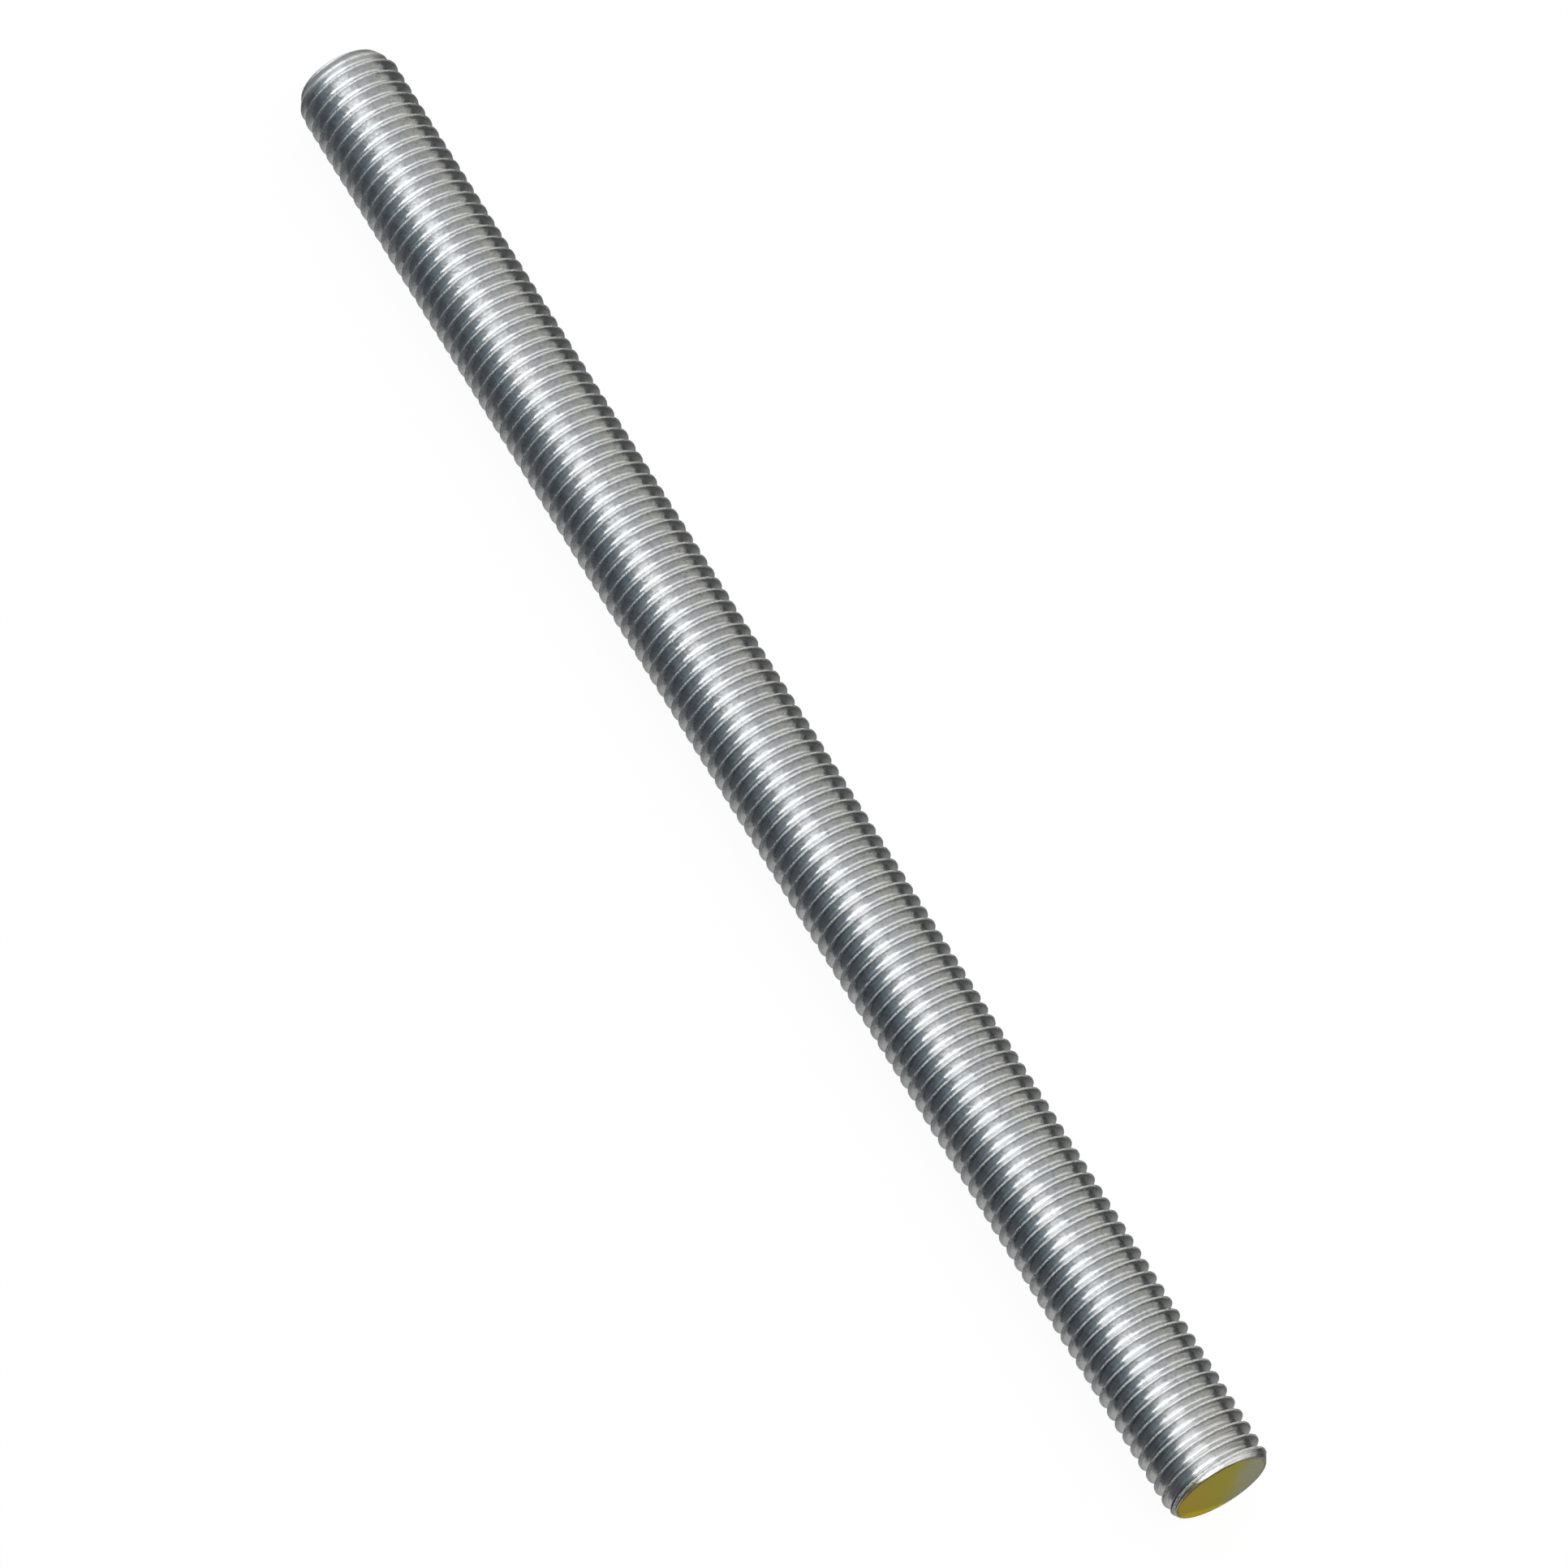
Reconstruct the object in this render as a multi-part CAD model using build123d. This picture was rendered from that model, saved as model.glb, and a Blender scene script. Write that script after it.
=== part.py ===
from build123d import *
import os
from math import radians, tan

# A length of threaded rod: steel bar with a coarse right-hand thread rolled along its whole length,
# 3/4 inch with 10 turns to the inch and 12 inches long, zinc plated, both ends pointed by a chamfer
# and cropped flat.
# The rod lies along X, resting on Z = 0, with the middle of its length at X = 0.
# Its +X end is the one whose face carries the colour mark.
# The fine thread itself is a surface detail: this solid follows the crests of the thread.

# The thread and the bar, in millimetres and degrees
crest_diameter = 19.05
thread_pitch = 2.54
rod_length = 304.8

# The marked end is only lightly pointed: its chamfer stops above the root of the thread
marked_point_depth = 0.93
marked_point_angle = 32.0

# The plain end is pointed to just below the root, which lets a nut start on it
plain_face_below_root = 0.08
plain_point_angle = 30.0

# Plating and tumbling leave no sharp edge round a face
face_edge_radius = 0.3

# A rolled thread of this form is 0.61343 of its pitch deep, from crest to root
thread_depth = 0.61343 * thread_pitch
plain_point_depth = thread_depth + plain_face_below_root
crest_radius = crest_diameter / 2


def point_length(point_depth, point_angle):
    """Length along the axis of a chamfer that falls from the crests by a depth, at an angle to the axis."""
    return point_depth / tan(radians(point_angle))


def half_section():
    """One half of the section through the axis, with both points, for turning about X."""
    marked_x = rod_length / 2
    plain_x = -rod_length / 2
    marked_shoulder_x = marked_x - point_length(marked_point_depth, marked_point_angle)
    plain_shoulder_x = plain_x + point_length(plain_point_depth, plain_point_angle)
    with BuildSketch(Plane.XY) as section:
        with BuildLine():
            Polyline(
                (plain_x, 0),
                (plain_x, crest_radius - plain_point_depth),
                (plain_shoulder_x, crest_radius),
                (marked_shoulder_x, crest_radius),
                (marked_x, crest_radius - marked_point_depth),
                (marked_x, 0),
                close=True,
            )
        make_face()
        rims = section.vertices().filter_by(lambda corner: corner.Y > 0).sort_by(Axis.X)
        fillet([rims[0], rims[-1]], face_edge_radius)
    return section.sketch


def threaded_rod():
    """The bar turned from its half section and laid down on the crests of its thread."""
    bar = revolve(half_section(), axis=Axis.X)
    return Pos(0, 0, crest_radius) * bar


os.makedirs("parts", exist_ok=True)
export_step(threaded_rod(), "parts/threaded_rod.step")
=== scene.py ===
from math import cos, hypot, pi, radians, sin, tan

import bmesh
import bpy
from mathutils import Euler, Matrix, Vector, noise


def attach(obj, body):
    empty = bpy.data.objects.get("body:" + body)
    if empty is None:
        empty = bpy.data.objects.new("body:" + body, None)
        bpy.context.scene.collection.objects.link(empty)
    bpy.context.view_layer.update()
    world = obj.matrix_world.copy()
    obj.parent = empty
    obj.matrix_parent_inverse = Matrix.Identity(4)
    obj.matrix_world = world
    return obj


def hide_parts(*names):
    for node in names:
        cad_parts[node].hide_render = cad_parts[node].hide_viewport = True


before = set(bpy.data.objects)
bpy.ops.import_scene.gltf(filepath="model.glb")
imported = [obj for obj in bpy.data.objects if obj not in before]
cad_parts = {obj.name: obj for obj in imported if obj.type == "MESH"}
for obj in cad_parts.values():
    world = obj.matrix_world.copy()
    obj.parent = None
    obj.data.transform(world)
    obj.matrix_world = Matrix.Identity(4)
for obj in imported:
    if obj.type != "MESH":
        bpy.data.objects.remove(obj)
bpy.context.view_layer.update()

# The rod is one length of steel bar. Its right-hand thread is rolled cold between two dies, which press
# the groove in and push the metal up into crests, and it is then pointed, cropped and zinc plated.
# The +X end is the marked one.
rod_length = 0.3048
crest_radius = 0.009525
axis_height = crest_radius
pitch = 0.00254
root_radius = crest_radius - 0.61343 * pitch
marked_x = rod_length / 2
plain_x = -rod_length / 2
crest_half_width = pitch / 16
first_crest = 0.35 * pitch
marked_face_radius = crest_radius - 0.00093
marked_point_angle = 32
plain_face_radius = root_radius - 0.00008
plain_point_angle = 30
rim_rounding = 0.0003
rings_round_rim = (0.00015, 0.00009, 0.000045, 0.000012)


def thread_section():
    """The thread's outline from one crest to the next, as edges in the plane of X and Y."""
    flank_lean = radians(30)
    seam_dip = 0.00004
    crest_rounding = 0.00007
    sharp_root_depth = (pitch / 2 - crest_half_width) / tan(flank_lean)
    root_rounding = 0.284 * pitch
    corners = [
        (0, crest_radius - seam_dip),
        (crest_half_width, crest_radius),
        (pitch / 2, crest_radius - sharp_root_depth),
        (pitch - crest_half_width, crest_radius),
        (pitch, crest_radius - seam_dip),
    ]
    bm = bmesh.new()
    points = [bm.verts.new((x, radius, 0)) for x, radius in corners]
    for start, end in zip(points, points[1:]):
        bm.edges.new((start, end))
    rounded = {"affect": "VERTICES", "profile": 0.5, "material": -1}
    bmesh.ops.bevel(bm, geom=[points[2]], offset=root_rounding, segments=6, **rounded)
    crest_corners = [vert for vert in bm.verts if vert.co.y == max(v.co.y for v in bm.verts)]
    bmesh.ops.bevel(bm, geom=crest_corners, offset=crest_rounding, segments=2, **rounded)
    return bm


def rolled_thread():
    """Turns of thread: one is spun round the axis of the bar, then doubled up to beyond its length."""
    steps_a_turn = 46
    bm = thread_section()
    bmesh.ops.spin(
        bm, geom=bm.verts[:] + bm.edges[:], axis=(1, 0, 0), cent=(0, 0, 0),
        dvec=(pitch / steps_a_turn, 0, 0), angle=2 * pi, steps=steps_a_turn,
    )
    turns = 1
    while turns * pitch < rod_length + 4 * pitch:
        copy = bmesh.ops.duplicate(bm, geom=bm.verts[:] + bm.edges[:] + bm.faces[:])
        copied = [item for item in copy["geom"] if isinstance(item, bmesh.types.BMVert)]
        bmesh.ops.translate(bm, verts=copied, vec=(turns * pitch, 0, 0))
        turns *= 2
    bmesh.ops.remove_doubles(bm, verts=bm.verts[:], dist=1e-6)
    bmesh.ops.translate(bm, verts=bm.verts[:], vec=(first_crest - turns * pitch / 2, 0, 0))
    return bm


def cut_across(bm, x, outward, cropped):
    """Cuts square across the thread at x, and where it is cropped there drops what lies outward."""
    bmesh.ops.bisect_plane(
        bm, geom=bm.verts[:] + bm.edges[:] + bm.faces[:], dist=1e-7,
        plane_co=(x, 0, 0), plane_no=(outward, 0, 0), clear_outer=cropped,
    )


def under_point(behind_face, face_radius, point_angle):
    """How far out a pointed end lets the metal reach, this far behind its face. The rim is rounded."""
    lean = radians(point_angle)
    if behind_face > rim_rounding * (1 - sin(lean)):
        return face_radius + behind_face * tan(lean)
    rounding_centre = face_radius - rim_rounding * (1 / cos(lean) - tan(lean))
    rise = rim_rounding ** 2 - (rim_rounding - behind_face) ** 2
    return rounding_centre + max(rise, 0) ** 0.5


def pointed_radius(x):
    """How far out the metal reaches at x, under the chamfers of the two ends."""
    marked = under_point(marked_x - x, marked_face_radius, marked_point_angle)
    plain = under_point(x - plain_x, plain_face_radius, plain_point_angle)
    return min(marked, plain)


def folded_radius(x):
    """How far in the groove reaches at x: the dies fold it shut just behind the marked face."""
    fold_start = marked_x - 0.0018
    fold_end = marked_x - 0.0007
    folded = min(max((x - fold_start) / (fold_end - fold_start), 0), 1)
    return root_radius * (1 - folded) + crest_radius * folded


bm = rolled_thread()
for face_x, outward in ((marked_x, 1), (plain_x, -1)):
    cut_across(bm, face_x, outward, True)
    for behind_face in rings_round_rim:
        cut_across(bm, face_x - outward * behind_face, outward, False)

# The turns that the chamfers and the fold reshape get two more rows of faces along the thread.
end_zone = 1.7 * pitch
across_thread = []
for edge in bm.edges:
    a, b = (vert.co for vert in edge.verts)
    if min(abs(a.x), abs(b.x)) > marked_x - end_zone and abs(a.y * b.z - a.z * b.y) < 1e-9:
        across_thread.append(edge)
bmesh.ops.subdivide_edges(bm, edges=across_thread, cuts=2, use_grid_fill=True)
for vert in bm.verts:
    radius = hypot(vert.co.y, vert.co.z)
    if vert.co.x > marked_x - end_zone:
        radius = max(radius, folded_radius(vert.co.x))
    radius = min(radius, pointed_radius(vert.co.x))
    vert.co.yz = vert.co.yz.normalized() * radius
bmesh.ops.edgeloop_fill(bm, edges=[edge for edge in bm.edges if edge.is_boundary])
bmesh.ops.recalc_face_normals(bm, faces=bm.faces[:])

# Tumbling in the plating barrel and bundling knock the crests about.
crests_start = crest_radius * 0.985
for vert in bm.verts:
    radius = hypot(vert.co.y, vert.co.z)
    if radius > crests_start:
        knock = max(noise.noise(vert.co * 700) - 0.42, 0)
        ripple = max(noise.noise(vert.co * 1800 + Vector((7, 3, 1))), 0)
        vert.co.yz *= 1 - 0.03 * knock - 0.0015 * ripple
bmesh.ops.translate(bm, verts=bm.verts[:], vec=(0, 0, axis_height))
for face in bm.faces:
    face.smooth = abs(face.normal.x) < 0.999
mesh = bpy.data.meshes.new("rod")
bm.to_mesh(mesh)
bm.free()
rod = bpy.data.objects.new("rod", mesh)
bpy.context.scene.collection.objects.link(rod)
even_flanks = rod.modifiers.new("even_flanks", "WEIGHTED_NORMAL")
even_flanks.mode = "FACE_AREA"
even_flanks.weight = 100
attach(rod, "root")
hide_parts("threaded_rod")


class Shade:
    """A socket of a material. Sums and products of such sockets add the Math nodes for them."""

    def __init__(self, tree, socket=None):
        self.tree = tree
        self.socket = socket

    def node(self, kind, settings, inputs, output=0):
        """Adds a node: its settings first, then the value or the link of each of its sockets."""
        node = self.tree.nodes.new("ShaderNode" + kind)
        for name, setting in settings.items():
            if name == "stops":
                elements = node.color_ramp.elements
                elements[0].position, elements[1].position = setting[0][0], setting[-1][0]
                for position, _ in setting[1:-1]:
                    elements.new(position)
                for element, (_, colour) in zip(elements, setting):
                    element.color = (*colour, 1)
            else:
                setattr(node, name, setting)
        for name, value in inputs.items():
            if isinstance(value, Shade):
                self.tree.links.new(value.socket, node.inputs[name])
            else:
                node.inputs[name].default_value = value
        return Shade(self.tree, node.outputs[output] if node.outputs else None)

    def math(self, operation, *values):
        return self.node("Math", {"operation": operation}, dict(enumerate(values)))

    def __add__(self, other):
        return self.math("ADD", self, other)

    __radd__ = __add__

    def __sub__(self, other):
        return self.math("SUBTRACT", self, other)

    def __rsub__(self, other):
        return self.math("SUBTRACT", other, self)

    def __mul__(self, other):
        return self.math("MULTIPLY", self, other)

    __rmul__ = __mul__

    def __truediv__(self, other):
        return self.math("DIVIDE", self, other)

    def rise(self, low, high):
        """Goes smoothly from 0 to 1 as this value goes from low to high."""
        settings = {"interpolation_type": "SMOOTHSTEP"}
        return self.node("MapRange", settings, {"Value": self, "From Min": low, "From Max": high})

    def blend(self, first, second):
        """A colour that goes from the first to the second as this value goes from 0 to 1."""
        return self.node("Mix", {"data_type": "RGBA"}, {0: self, 6: first, 7: second}, 2)


def new_material(name):
    material = bpy.data.materials.new(name)
    material.use_nodes = True
    material.node_tree.nodes.clear()
    return material, Shade(material.node_tree)


zinc_plate, zinc = new_material("zinc_plate")
place = zinc.node("TexCoord", {}, {}, "Object")
x = zinc.node("SeparateXYZ", {}, {"Vector": place}, "X")
y = zinc.node("SeparateXYZ", {}, {"Vector": place}, "Y")
height = zinc.node("SeparateXYZ", {}, {"Vector": place}, "Z") - axis_height
turn = zinc.math("ARCTAN2", height, y) / (2 * pi)
thread_phase = zinc.math("FRACT", (x - first_crest) / pitch - turn)
turns_along = x / pitch - thread_phase
from_crest = 0.5 - zinc.math("ABSOLUTE", thread_phase - 0.5)
from_axis = zinc.math("SQRT", y * y + height * height)
on_thread = (from_axis / root_radius).rise(0.96, 0.99)

# The dies drag the metal along the thread and leave streaks that run with it, strongest near the marked
# end. They never quite fill the crest, which stays grainy and pale. Along its edge runs a dark ragged
# line, the rolled lap darkened with painted shade, heavier on the side towards the plain end.
streak_place = zinc.node("CombineXYZ", {}, {"X": turns_along * 9, "Y": thread_phase * 22})
streaks = zinc.node("TexNoise", {}, {"Vector": streak_place, "Scale": 1.0, "Detail": 3.0}, "Fac")
grain = zinc.node("TexNoise", {}, {"Vector": place, "Scale": 4200.0, "Detail": 2.0}, "Fac")
dent_place = zinc.node("CombineXYZ", {}, {"X": turns_along * 60, "Y": thread_phase * 6})
dents = zinc.node("TexNoise", {}, {"Vector": dent_place, "Scale": 1.0, "Detail": 2.0}, "Fac")
cloud = zinc.node("TexNoise", {}, {"Vector": place, "Scale": 220.0, "Detail": 2.0}, "Fac")
stain = zinc.node("TexNoise", {}, {"Vector": place, "Scale": 1100.0, "Detail": 3.0}, "Fac").rise(0.5, 0.72)
ragged = from_crest + 0.08 * (grain - 0.5) + 0.11 * (dents - 0.5)
crest = on_thread * (1 - ragged.rise(0.07, 0.10))
pale = crest * (0.5 * grain + 0.5 * dents).rise(0.40, 0.55) * (0.5 * x / rod_length + 0.8)
plain_side = thread_phase.rise(0.45, 0.55)
# Painted shade in the lap: darkest on the crest's plain-end side and towards the marked end.
crease_shade_depth = (0.25 + 0.75 * plain_side) * (x / rod_length + 0.65)
crease_shade = on_thread * crease_shade_depth * ragged.rise(0.085, 0.11) * (1 - ragged.rise(0.13, 0.19))
scored_length = 0.02
near_mark = (x - marked_x + scored_length).rise(0, 0.014)
# The plate's tone varies at random. Towards the marked end it is painted lighter and less stained: a painted
# sheen that brightens the highlights there.
tone_and_sheen = (cloud + 0.3 * near_mark).blend((0.68, 0.71, 0.735, 1), (0.85, 0.85, 0.84, 1))
stained = ((0.4 - 0.3 * near_mark) * stain).blend(tone_and_sheen, (0.42, 0.44, 0.46, 1))
worn = pale.blend(stained, (0.86, 0.865, 0.86, 1))
scored = (0.6 * near_mark * streaks.rise(0.57, 0.63)).blend(worn, (0.24, 0.245, 0.25, 1))
plate = crease_shade.blend(scored, (0.14, 0.145, 0.15, 1))

# A little of the yellow paint is smeared over the marked end's chamfer, on the side that leans this far
# from straight up.
smear_lean = radians(39.4)
smear_length = 0.0011
on_chamfer = (x - marked_x + smear_length).rise(0, 0.0006)
smear_side = (cos(smear_lean) * height - sin(smear_lean) * y) / from_axis
smear = on_chamfer * (smear_side + 0.02 * (grain - 0.5)).rise(0.978, 0.99)
smeared = (0.6 * smear).blend(plate, (0.42, 0.42, 0.20, 1))

# The blade that crops the bar tears its end face in lines up and down, and the point is turned a little
# rough.
tear_place = zinc.node("CombineXYZ", {}, {"X": y * 2600, "Y": height * 180})
tears = zinc.node("TexNoise", {}, {"Vector": tear_place, "Scale": 1.0, "Detail": 3.0}, "Fac")
streak_depth = 0.16 + 0.24 * near_mark
thread_marks = streak_depth * streaks + crest * grain + 0.42 * dents
bump_height = thread_marks * on_thread + 0.3 * tears * (1 - on_thread)
plain_point_length = (crest_radius - plain_face_radius) / tan(radians(plain_point_angle))
behind_point = (x - plain_x) / plain_point_length
turned_point = 1 - behind_point.rise(0.78, 1.13)
roughness = 0.06 + 0.06 * streaks + 0.38 * pale + 0.06 * cloud + 0.3 * turned_point
bump = zinc.node("Bump", {}, {"Strength": 1.0, "Distance": 0.00012, "Height": bump_height})
surface = zinc.node("BsdfPrincipled", {}, {
    "Base Color": smeared, "Metallic": 1 - 0.25 * pale, "Roughness": roughness, "Normal": bump,
})
zinc.node("OutputMaterial", {}, {"Surface": surface})
rod.data.materials.append(zinc_plate)

# The size is marked by colour: the seller dabs thin yellow lacquer on one end face. It covers the face
# as far as the rounding of its rim, a little domed, and has pooled along the lower edge at one side.
film_radius = marked_face_radius - 0.00018
film_depth = 0.00003
dome_height = 0.00003
bm = bmesh.new()
bmesh.ops.create_circle(bm, cap_ends=True, radius=film_radius, segments=96)
back = bm.faces[:]
front = bmesh.ops.extrude_face_region(bm, geom=back)["geom"]
lifted = [item for item in front if isinstance(item, bmesh.types.BMVert)]
bmesh.ops.translate(bm, verts=lifted, vec=(0, 0, film_depth))
dome = [item for item in front if isinstance(item, bmesh.types.BMFace)]
for inset in (0.00006, 0.00014, 0.0003, 0.0008, 0.0014, 0.0018, 0.002):
    bmesh.ops.inset_region(bm, faces=dome, thickness=inset, depth=0, use_even_offset=True)
bmesh.ops.poke(bm, faces=dome)
for vert in bm.verts:
    if vert.co.z > film_depth / 2:
        inward = 1 - hypot(vert.co.x, vert.co.y) / film_radius
        sag = noise.noise(vert.co * 260)
        vert.co.z += dome_height * min(inward * 14, 1) * (1 + 0.5 * sag)
bmesh.ops.rotate(bm, verts=bm.verts[:], cent=(0, 0, 0), matrix=Matrix.Rotation(pi / 2, 3, "Y"))
bmesh.ops.translate(bm, verts=bm.verts[:], vec=(marked_x, 0, axis_height))
bmesh.ops.recalc_face_normals(bm, faces=bm.faces[:])
for face in bm.faces:
    face.smooth = face.normal.x > -0.5
mesh = bpy.data.meshes.new("colour_mark")
bm.to_mesh(mesh)
bm.free()
colour_mark = bpy.data.objects.new("colour_mark", mesh)
bpy.context.scene.collection.objects.link(colour_mark)
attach(colour_mark, "root")

yellow_paint, paint = new_material("yellow_paint")
place = paint.node("TexCoord", {}, {}, "Object")
across_face = paint.node("SeparateXYZ", {}, {"Vector": place}, "Y") / film_radius
up_face = (paint.node("SeparateXYZ", {}, {"Vector": place}, "Z") - axis_height) / film_radius
brush = paint.node("TexNoise", {}, {"Vector": place, "Scale": 420.0, "Detail": 3.0}, "Fac")
soft = paint.node("TexNoise", {}, {"Vector": place, "Scale": 130.0, "Detail": 1.0}, "Fac")
speck = paint.node("TexNoise", {}, {"Vector": place, "Scale": 2400.0, "Detail": 2.0}, "Fac")
golden = across_face.rise(-0.9, 0.2).blend((0.46, 0.335, 0.035, 1), (0.43, 0.365, 0.045, 1))
thin = (across_face - 0.3 * up_face + 0.7 * (soft - 0.5)).rise(0.05, 0.6)
coat = thin.blend(golden, (0.39, 0.38, 0.24, 1))
low_side = -0.48 * across_face - 0.88 * up_face + 0.16 * (brush - 0.5)
film_colour = low_side.rise(0.66, 0.84).blend(coat, (0.66, 0.52, 0.0, 1))
mottled = (0.2 * speck.rise(0.45, 0.75)).blend(film_colour, (0.16, 0.14, 0.05, 1))
from_middle = paint.math("SQRT", across_face * across_face + up_face * up_face)
# Painted shade: a dark ragged ring round the film's rim, heaviest on its upper side.
edge = (from_middle + 0.10 * (speck - 0.5)).rise(0.955, 0.985)
rim_shade_side = (-0.42 * across_face + 0.91 * up_face).rise(0.68, 0.85)
finish = (edge * (0.35 + 0.6 * rim_shade_side)).blend(mottled, (0.02, 0.017, 0.01, 1))
brushed = paint.node("Bump", {}, {"Strength": 0.2, "Distance": 0.00004, "Height": brush})
film = paint.node("BsdfPrincipled", {}, {
    "Base Color": finish, "Roughness": 0.45, "Specular IOR Level": 0.02, "Coat Weight": 0.02,
    "Coat Roughness": 0.1, "Normal": brushed,
})
paint.node("OutputMaterial", {}, {"Surface": film})
colour_mark.data.materials.append(yellow_paint)

# The rod lies on white paper. The camera sees it white, with a faint shadow. The metal sees a painted
# reflection on it instead: pale close by the rod, painted dark further off, and lighter again far off at +Y.
floor_bm = bmesh.new()
bmesh.ops.create_grid(floor_bm, x_segments=1, y_segments=1, size=6.0)
floor_mesh = bpy.data.meshes.new("floor")
floor_bm.to_mesh(floor_mesh)
floor_bm.free()
floor = bpy.data.objects.new("floor", floor_mesh)
bpy.context.scene.collection.objects.link(floor)
floor_finish, paper = new_material("floor")
seen = paper.node("LightPath", {}, {}, "Is Camera Ray")
mirrored = paper.node("LightPath", {}, {}, "Is Glossy Ray")
spot = paper.node("TexCoord", {}, {}, "Object")
reflection_ramp_width = 0.2
aside = paper.node("SeparateXYZ", {}, {"Vector": spot}, "Y") / reflection_ramp_width + 0.5
# Painted reflection on the paper, seen only by the metal: pale in a band along the rod, dark beyond it.
painted_reflection = paper.node("ValToRGB", {"stops": [
    (0.3, (0.085, 0.095, 0.105)),
    (0.405, (0.105, 0.11, 0.12)),
    (0.425, (0.15, 0.155, 0.155)),
    (0.445, (0.40, 0.40, 0.39)),
    (0.5, (0.44, 0.44, 0.43)),
    (0.55, (0.32, 0.32, 0.31)),
    (0.575, (0.22, 0.22, 0.215)),
    (0.592, (0.13, 0.13, 0.13)),
    (0.61, (0.085, 0.085, 0.085)),
    (0.70, (0.09, 0.09, 0.09)),
    (0.78, (0.31, 0.31, 0.30)),
    (0.90, (0.46, 0.455, 0.43)),
]}, {"Fac": aside}, "Color")
glow = paper.node("Emission", {}, {"Color": mirrored.blend((1, 1, 1, 1), painted_reflection), "Strength": 1.03})
matt = paper.node("BsdfDiffuse", {}, {"Color": (0.85, 0.85, 0.85, 1)})
glow_seen = 0.93
mixed = paper.node("MixShader", {}, {0: seen * glow_seen + mirrored, 1: matt, 2: glow})
paper.node("OutputMaterial", {}, {"Surface": mixed})
floor.data.materials.append(floor_finish)

# A long softbox hangs over the rod and lights the paper and the paint. The metal doesn't mirror this lamp:
# it mirrors the oval softbox in the surroundings, which come next.
softbox = bpy.data.lights.new("softbox", "AREA")
softbox.shape = "RECTANGLE"
softbox.size = 2.0
softbox.size_y = 1.2
softbox.energy = 1.2 * pi * softbox.size * softbox.size_y
softbox_object = bpy.data.objects.new("softbox", softbox)
softbox_spot = Vector((0.1, 0.5, 1.2))
turned = softbox_spot.to_track_quat("Z", "Y").to_matrix().to_4x4()
softbox_object.matrix_world = Matrix.Translation(softbox_spot) @ turned
softbox_object.visible_camera = False
softbox_object.visible_glossy = False
bpy.context.scene.collection.objects.link(softbox_object)

# What the metal mirrors, by the angle from straight up towards +Y: an oval softbox overhead, a pale wall
# at +Y and a dark one at -Y. Beyond the plain end it is dimmer, up to a grey far wall, and beyond the
# marked end it is dark apart from one strip. Matt surfaces get about half of the light overhead.
world = bpy.data.worlds.new("studio")
bpy.context.scene.world = world
world.use_nodes = True
world.node_tree.nodes.clear()
air = Shade(world.node_tree)
roof_level = 1.7
direction = air.node("TexCoord", {}, {}, "Generated")
endways = air.node("SeparateXYZ", {}, {"Vector": direction}, "X")
sideways = air.node("SeparateXYZ", {}, {"Vector": direction}, "Y")
upward = air.node("SeparateXYZ", {}, {"Vector": direction}, "Z")
lean = air.math("ARCTAN2", sideways, upward) * (180 / pi)


def round_the_rod(*stops):
    """A ramp of colours by degrees from straight up, towards +Y. They are written as the metal sees them."""
    written = [(0.5 + angle / 360, [part / roof_level for part in colour]) for angle, colour in stops]
    return air.node("ValToRGB", {"stops": written}, {"Fac": lean / 360 + 0.5}, "Color")


overhead = round_the_rod(
    (-98, (0.13, 0.14, 0.155)),
    (-75, (0.18, 0.215, 0.24)),
    (-58, (0.33, 0.38, 0.41)),
    (-36, (0.62, 0.63, 0.65)),
    (-15, (0.95, 0.95, 0.95)),
    (16, (1.0, 1.0, 1.0)),
    (48, (0.95, 0.95, 0.95)),
    (60, (0.88, 0.88, 0.86)),
    (74, (0.80, 0.79, 0.74)),
    (90, (0.70, 0.69, 0.65)),
    (98, (0.60, 0.60, 0.56)),
)
beyond_plain_end = round_the_rod(
    (-98, (0.085, 0.10, 0.11)),
    (-90, (0.10, 0.117, 0.13)),
    (-80, (0.135, 0.168, 0.188)),
    (-68, (0.17, 0.208, 0.228)),
    (-55, (0.275, 0.315, 0.335)),
    (-43, (0.41, 0.425, 0.435)),
    (-30, (0.61, 0.62, 0.63)),
    (-17, (0.91, 0.91, 0.91)),
    (-2, (0.90, 0.90, 0.90)),
    (5, (0.75, 0.75, 0.75)),
    (17, (0.65, 0.65, 0.65)),
    (42, (0.57, 0.57, 0.56)),
    (55, (0.525, 0.515, 0.49)),
    (68, (0.49, 0.48, 0.435)),
    (82, (0.51, 0.49, 0.425)),
    (91, (0.30, 0.295, 0.28)),
    (100, (0.12, 0.12, 0.12)),
)
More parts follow.
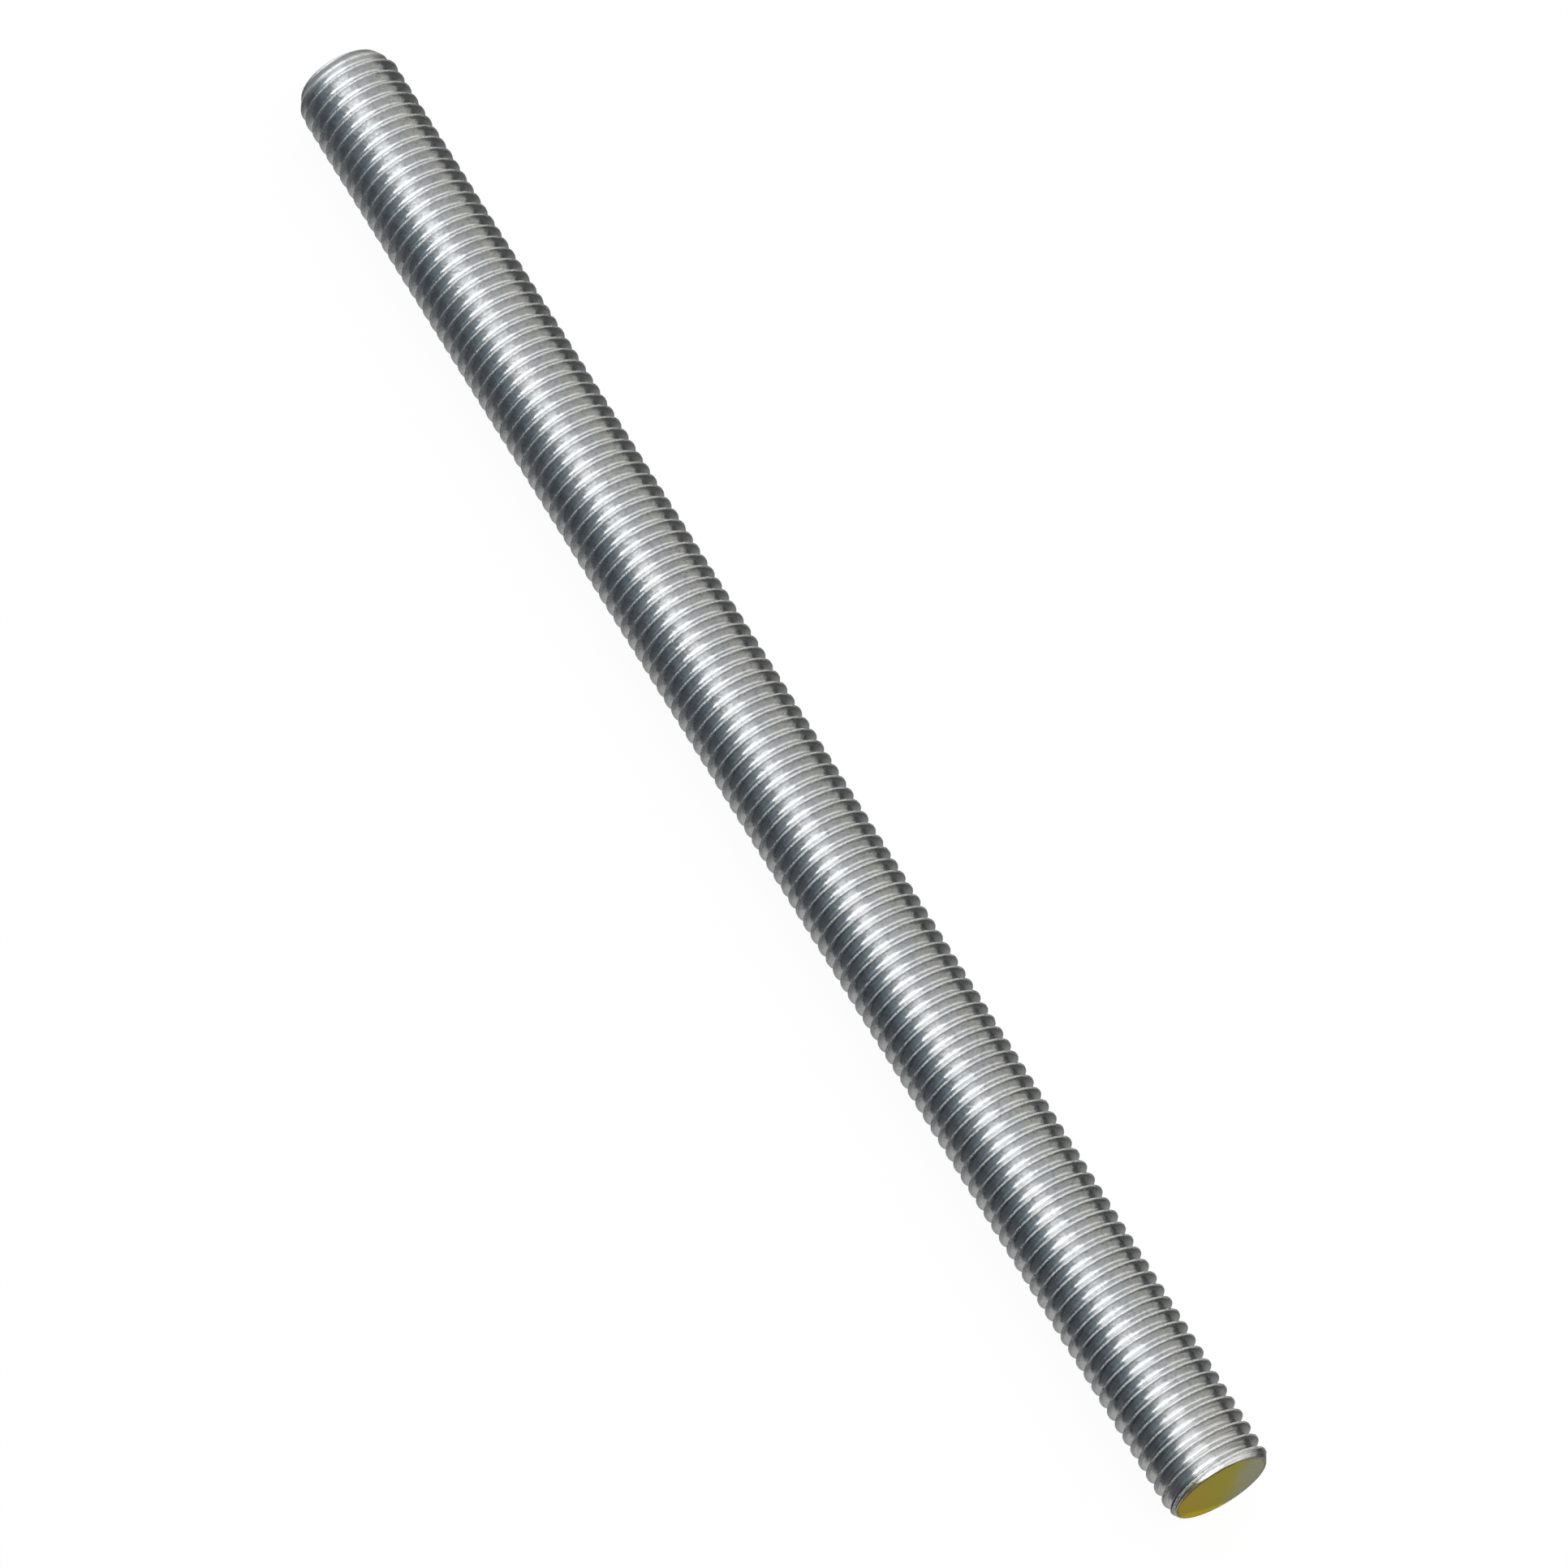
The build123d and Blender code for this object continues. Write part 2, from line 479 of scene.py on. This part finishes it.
beyond_marked_end = round_the_rod(
    (-90, (0.08, 0.09, 0.10)),
    (-62, (0.15, 0.16, 0.17)),
    (-48, (0.50, 0.50, 0.50)),
    (-28, (0.50, 0.50, 0.50)),
    (-16, (0.14, 0.14, 0.14)),
    (20, (0.07, 0.07, 0.07)),
    (90, (0.04, 0.04, 0.04)),
)
plain_end_share = (-1 * endways).rise(0.12, 0.24)
far_wall_share = (-1 * endways).rise(0.86, 0.94)
far_wall = (0.27, 0.275, 0.28, 1)
marked_end_share = endways.rise(0.82, 0.95)
oval_length = (endways - 0.25) / 0.78
oval_width = (lean + 18) / 38
softbox_share = 1 - (oval_length * oval_length + oval_width * oval_width).rise(0.8, 1.1)
above = plain_end_share.blend(overhead, beyond_plain_end)
walls = marked_end_share.blend(far_wall_share.blend(above, far_wall), beyond_marked_end)
surround = softbox_share.blend(walls, (1, 1, 1, 1))
seen = air.node("LightPath", {}, {}, "Is Camera Ray")
mirrored = air.node("LightPath", {}, {}, "Is Glossy Ray")
white_background = [1 / roof_level] * 3 + [1]
fill_level = 0.52
soft_fill = air.node("Mix", {"data_type": "RGBA"}, {0: fill_level, 6: (0, 0, 0, 1), 7: overhead}, 2)
colour = seen.blend(mirrored.blend(soft_fill, surround), white_background)
sky = air.node("Background", {}, {"Color": colour, "Strength": roof_level})
air.node("OutputWorld", {}, {"Surface": sky})

# The camera looks down on the rod from beyond its marked end, through a long lens.
camera_azimuth = radians(60.6458)
camera_elevation = radians(64.1864)
camera_aim = Vector((0.005858, 0.000384, axis_height))
camera_distance = 1.6
lens = bpy.data.cameras.new("camera")
lens.sensor_width = 36.0
lens.lens = 216.760
lens.clip_start = 0.1
lens.clip_end = 20.0
camera = bpy.data.objects.new("camera", lens)
turned = Euler((pi / 2 - camera_elevation, 0, camera_azimuth)).to_matrix().to_4x4()
camera.matrix_world = Matrix.Translation(camera_aim) @ turned @ Matrix.Translation((0, 0, camera_distance))
bpy.context.scene.collection.objects.link(camera)
bpy.context.scene.camera = camera
bpy.context.scene.view_settings.view_transform = "Standard"
